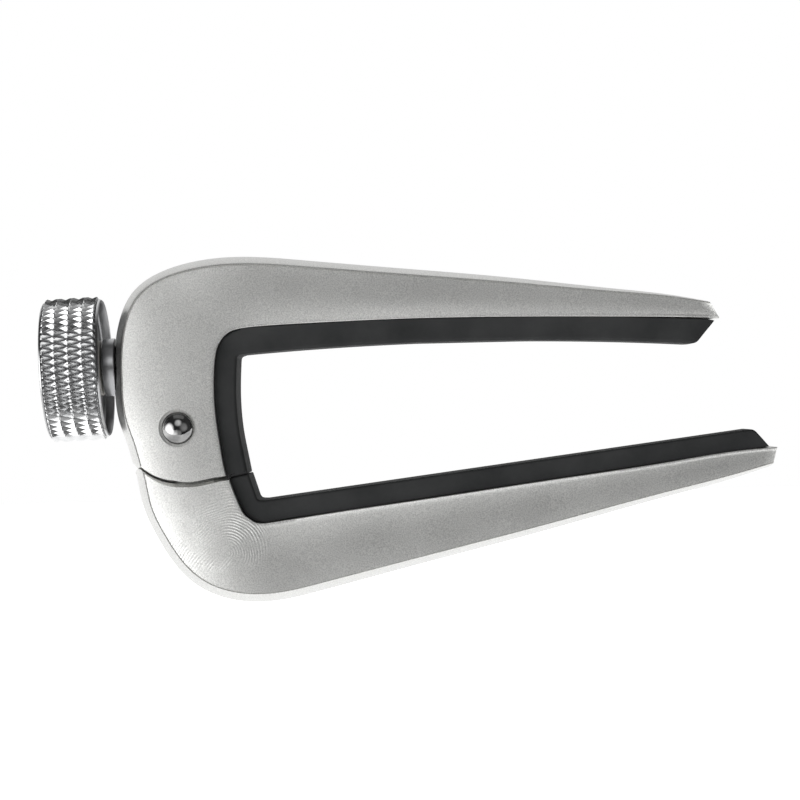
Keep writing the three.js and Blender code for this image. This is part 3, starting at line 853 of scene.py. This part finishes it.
def moulded(name, dark, light, low, high, scale):
    """Rubber or plastic with a fine moulded texture."""
    material, tree, shader = new_material(name)
    coords = add(tree, "ShaderNodeTexCoord").outputs["Object"]
    fine = noise(tree, coords, scale, 4.0, 0.6)
    cloud = noise(tree, coords, 160, 3.0, 0.5)
    tint = mix_colour(tree, spread(tree, cloud, 0.3, 0.7), dark, light)
    tree.links.new(tint, shader.inputs["Base Color"])
    tree.links.new(spread(tree, fine, 0.3, 0.7, low, high), shader.inputs["Roughness"])
    bump(tree, shader, fine, 0.00003, 0.5)
    return material


def set_input(material, name, value):
    material.node_tree.nodes["Principled BSDF"].inputs[name].default_value = value


ALUMINIUM = satin_aluminium("satin_aluminium")
ALUMINIUM_MARKED = satin_aluminium("satin_aluminium_marked", True)
BRIGHT = bright_aluminium("bright_aluminium")
RUBBER = moulded("pad_rubber", (0.026, 0.027, 0.0275), (0.042, 0.043, 0.0435), 0.62, 0.8, 1800)
set_input(RUBBER, "Specular IOR Level", 0.1)
NYLON = moulded("nylon", (0.72, 0.70, 0.66), (0.82, 0.80, 0.76), 0.45, 0.6, 900)
# partly painted: the chrome's base is darker and blotchy, standing in for the dark reflections on
# the dome; the lathe marks are real
CHROME = turned_metal("chrome", (0.22, 0.22, 0.22), (0.50, 0.50, 0.495), 0.06, 0.14, PIVOT)
STEEL = turned_metal("steel", (0.44, 0.445, 0.455), (0.54, 0.545, 0.555), 0.24, 0.36, SCREW_FACE)
# painted shade: a much darker copy of the knob's aluminium, with a greyed specular tint, for the
# knob's dish, standing in for the dark reflections in the recess
FACED_WITH_PAINTED_SHADE = turned_metal("faced_aluminium_painted_shade", (0.32, 0.323, 0.33), (0.42, 0.423, 0.43), 0.3, 0.42,
                     SCREW_FACE)
set_input(FACED_WITH_PAINTED_SHADE, "Specular Tint", (0.3, 0.3, 0.3, 1))
# painted shade: a still darker copy of the knob's aluminium for its outer end and the end cap,
# keeping them from washing out in the light from behind
MACHINED_WITH_PAINTED_SHADE = turned_metal("machined_aluminium_painted_shade", (0.23, 0.233, 0.24), (0.27, 0.273, 0.28), 0.43, 0.49,
                        SCREW_FACE)
BRASS = turned_metal("brass", (0.60, 0.46, 0.22), (0.74, 0.58, 0.30), 0.22, 0.36, TRUNNION)


def finish_piece(obj, material, body, slot, *nodes, angle=32, weighted=True):
    """Turns a mesh into metres, smooths it, and gives it its material, the body that it rides
    on and the names of the CAD nodes that it replaces. slot is not used."""
    to_metres(obj)
    obj.data.materials.clear()
    obj.data.materials.append(material)
    smooth(obj, angle, weighted)
    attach(obj, body)
    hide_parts(*nodes)


# ---- the pieces --------------------------------------------------------------------------
finish_piece(make_upper_arm(), ALUMINIUM, "housing", "aluminium", "upper_arm")
finish_piece(make_lower_arm(), ALUMINIUM_MARKED, "neck_arm", "aluminium", "lower_arm")
finish_piece(pad_mesh("string_pad_moulded", string_pad_outline(), string_pad_edge),
             RUBBER, "housing", "rubber", "string_pad", angle=40)
finish_piece(pad_mesh("neck_pad_moulded", neck_pad_outline(), neck_pad_edge),
             RUBBER, "neck_arm", "rubber", "neck_pad", angle=40)
knob = make_knob()
finish_piece(knob, BRIGHT, "thumb_screw", "bright_aluminium", "thumb_knob", angle=28,
             weighted=False)
face_knob(knob)
finish_piece(make_pin(), CHROME, "housing", "chrome", "pivot_pin", angle=50)
finish_piece(make_sleeve(), STEEL, "housing", "steel", "screw_sleeve")
# the end cap takes the darker copy of the aluminium, with painted shade
finish_piece(make_cap(), MACHINED_WITH_PAINTED_SHADE, "thumb_screw", "bright_aluminium", "knob_end_cap")

for node, material in {
    "front_pivot_washer": NYLON, "rear_pivot_washer": NYLON, "thrust_washer": NYLON,
    "pivot_bush": BRASS, "sleeve_washer": BRASS, "trunnion_nut": BRASS,
    "lead_screw": STEEL, "retaining_clip": STEEL,
}.items():
    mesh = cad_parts[node].data
    mesh.materials.clear()
    mesh.materials.append(material)

# ---- floor, light and camera -------------------------------------------------------------
FLOOR_SIDE, FLOOR_FRONT, FLOOR_BACK, FLOOR_LEVEL = 900, -95, 1500, -76
floor_corners = [(-FLOOR_SIDE, FLOOR_FRONT, FLOOR_LEVEL), (FLOOR_SIDE, FLOOR_FRONT, FLOOR_LEVEL),
                 (FLOOR_SIDE, FLOOR_BACK, FLOOR_LEVEL), (-FLOOR_SIDE, FLOOR_BACK, FLOOR_LEVEL)]
floor = make_object("floor", floor_corners, [(0, 1, 2, 3)])
to_metres(floor)
floor_material, floor_tree, floor_shader = new_material("pale_floor")
floor_shader.inputs["Base Color"].default_value = (0.85, 0.85, 0.85, 1)
floor_shader.inputs["Roughness"].default_value = 0.9
floor_shader.inputs["Emission Color"].default_value = (1, 1, 1, 1)
floor_shader.inputs["Emission Strength"].default_value = 0.9
floor.data.materials.append(floor_material)

world = bpy.data.worlds.new("studio")
scene.world = world
world.use_nodes = True
tree = world.node_tree
tree.nodes.clear()
direction = add(tree, "ShaderNodeTexCoord").outputs["Generated"]


def glow(towards, inner, outer, strength):
    """A soft patch of the studio in one direction, fading between two angles."""
    dot = add(tree, "ShaderNodeVectorMath", operation="DOT_PRODUCT")
    tree.links.new(direction, dot.inputs[0])
    dot.inputs[1].default_value = Vector(towards).normalized()
    node = add(tree, "ShaderNodeMapRange", interpolation_type="SMOOTHSTEP")
    tree.links.new(dot.outputs["Value"], node.inputs["Value"])
    node.inputs["From Min"].default_value = math.cos(math.radians(outer))
    node.inputs["From Max"].default_value = math.cos(math.radians(inner))
    node.inputs["To Min"].default_value = 0.0
    node.inputs["To Max"].default_value = strength
    return node.outputs["Result"]


# direction, angle inside which the patch is full, angle where it ends, strength
GLOWS = [
    ((0, 1, 0), 40, 85, 0.86),
    ((-0.77, -0.62, -0.08), 8, 34, 3.6),
    ((0.0, -0.85, 0.53), 5, 22, 0.05),
    ((0.0, -0.90, -0.43), 5, 20, 0.5),
    ((0.50, -0.85, 0.05), 5, 28, 0.32),
    ((0.0, -0.90, 0.43), 5, 20, 1.15),
    ((-0.52, -0.70, -0.49), 8, 28, 1.7),
    ((0, 1, 0), 8, 26, -0.2),
    ((0.6, -0.5, -0.62), 5, 30, -0.45),
    ((0.9, 0.42, 0.0), 12, 42, -0.5),
]
EVEN_LIGHT, LEAST_LIGHT = 0.06, 0.02
light = glow(*GLOWS[0])
for patch in GLOWS[1:]:
    light = math_node(tree, "ADD", light, glow(*patch))
light = math_node(tree, "MAXIMUM", math_node(tree, "ADD", light, EVEN_LIGHT), LEAST_LIGHT)
studio = add(tree, "ShaderNodeBackground")
tree.links.new(light, studio.inputs["Strength"])
studio.inputs["Color"].default_value = (1, 1, 1, 1)
backdrop = add(tree, "ShaderNodeBackground", Strength=1.0)
backdrop.inputs["Color"].default_value = (1, 1, 1, 1)
seen = add(tree, "ShaderNodeLightPath").outputs["Is Camera Ray"]
mix = add(tree, "ShaderNodeMixShader")
tree.links.new(seen, mix.inputs["Fac"])
tree.links.new(studio.outputs[0], mix.inputs[1])
tree.links.new(backdrop.outputs[0], mix.inputs[2])
output = add(tree, "ShaderNodeOutputWorld")
tree.links.new(mix.outputs[0], output.inputs["Surface"])


def area_light(name, place, towards, size, power):
    data = bpy.data.lights.new(name, "AREA")
    data.shape = "RECTANGLE"
    data.size, data.size_y = size
    data.energy = power
    obj = bpy.data.objects.new(name, data)
    scene.collection.objects.link(obj)
    obj.location = place
    obj.rotation_mode = "QUATERNION"
    aim = Vector(towards) - Vector(place)
    obj.rotation_quaternion = aim.to_track_quat("-Z", "Y")


area_light("left_softbox", (-0.080, -0.115, -0.068), (-0.04, 0, -0.018), (0.075, 0.075), 0.011)
area_light("top_softbox", (0.0, -0.25, 0.6), (0, 0, -0.01), (0.6, 0.3), 0.10)

VIEW_DISTANCE = 0.340
VIEW_WIDTH = 0.10526
VIEW_CENTRE = (-0.00938, -0.00742)     # X and Z that the camera looks at
ROLL = math.radians(1.3)
SENSOR_WIDTH = 36
camera = bpy.data.objects.new("camera", bpy.data.cameras.new("camera"))
scene.collection.objects.link(camera)
camera.data.sensor_width = SENSOR_WIDTH
camera.data.lens = SENSOR_WIDTH * VIEW_DISTANCE / VIEW_WIDTH
camera.data.clip_start = 0.01
right = Vector((math.cos(ROLL), 0, -math.sin(ROLL)))
up = Vector((math.sin(ROLL), 0, math.cos(ROLL)))
turn = Matrix((right, up, Vector((0, -1, 0)))).transposed()
camera.rotation_mode = "QUATERNION"
camera.rotation_quaternion = turn.to_quaternion()
camera.location = (VIEW_CENTRE[0], -VIEW_DISTANCE, VIEW_CENTRE[1])
scene.camera = camera
scene.view_settings.view_transform = "Standard"
